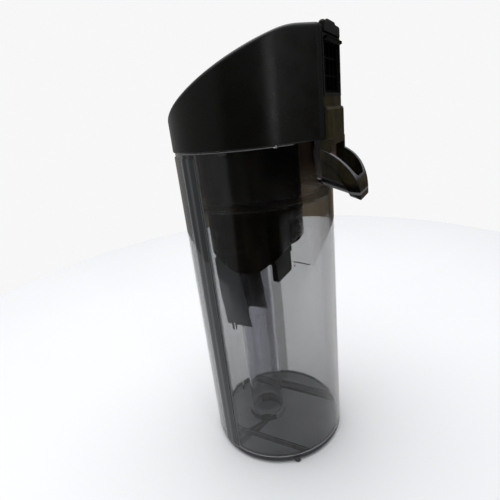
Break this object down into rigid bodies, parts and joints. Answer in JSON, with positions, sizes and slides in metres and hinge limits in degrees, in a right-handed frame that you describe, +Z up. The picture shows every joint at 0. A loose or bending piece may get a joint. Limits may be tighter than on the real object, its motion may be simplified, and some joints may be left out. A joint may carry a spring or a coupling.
{
  "type": "dirty water tank",
  "caption": "Tall round see-through tank with a pouring spout, an inner riser tube and a lift-off black lid that holds the separator, float and filter.",
  "frame": {"origin": "on the tank's upright axis, in the plane that it stands on", "axes": "+Z up along the tank, +Y to the rear with the spout and the air port, +X across the middle plane"},
  "size_m": [0.1144, 0.1365, 0.3118],
  "materials": {
    "smoky_clear": "polished see-through grey",
    "smoky_tube": "polished see-through grey",
    "smoky_amber": "polished see-through brown grey",
    "cover_black": "satin moulded black",
    "hood_dark": "dark see-through",
    "inner_black": "plain black",
    "float_grey": "see-through blue grey",
    "seal_rubber": "matt rubber",
    "filter_black": "plain black",
    "filter_foam": "open foam",
    "filter_paper": "dark pleated sheet",
    "screw_steel": "bare steel"
  },
  "bodies": {
    "tank": {"tank_body": "smoky_clear", "riser_tube": "smoky_tube", "riser_o_ring": "seal_rubber", "inlet_seal": "seal_rubber"},
    "lid": {"lid_base": "smoky_amber", "lid_gasket": "seal_rubber", "outer_cover": "cover_black", "cover_screws": "screw_steel", "separator_hood": "hood_dark", "hood_screws": "screw_steel", "splash_baffle": "inner_black", "float_guide": "inner_black", "valve_seat": "seal_rubber", "filter_screen": "inner_black", "port_seal": "seal_rubber"},
    "float": {"float_shell": "float_grey", "float_cap": "float_grey", "float_pad": "seal_rubber"},
    "filter": {"filter_frame": "filter_black", "filter_foam": "filter_foam", "filter_pleats": "filter_paper", "filter_gasket": "seal_rubber"}
  },
  "joints": [
    {"name": "lid_lift", "type": "slide", "parent": "tank", "child": "lid", "axis": [0, 0, 1], "range_m": [0, 0.165]},
    {"name": "float_rise", "type": "slide", "parent": "lid", "child": "float", "axis": [0, 0, 1], "range_m": [0, 0.0085]},
    {"name": "filter_pull", "type": "slide", "parent": "lid", "child": "filter", "axis": [0, 1, 0], "range_m": [0, 0.022]}
  ]
}
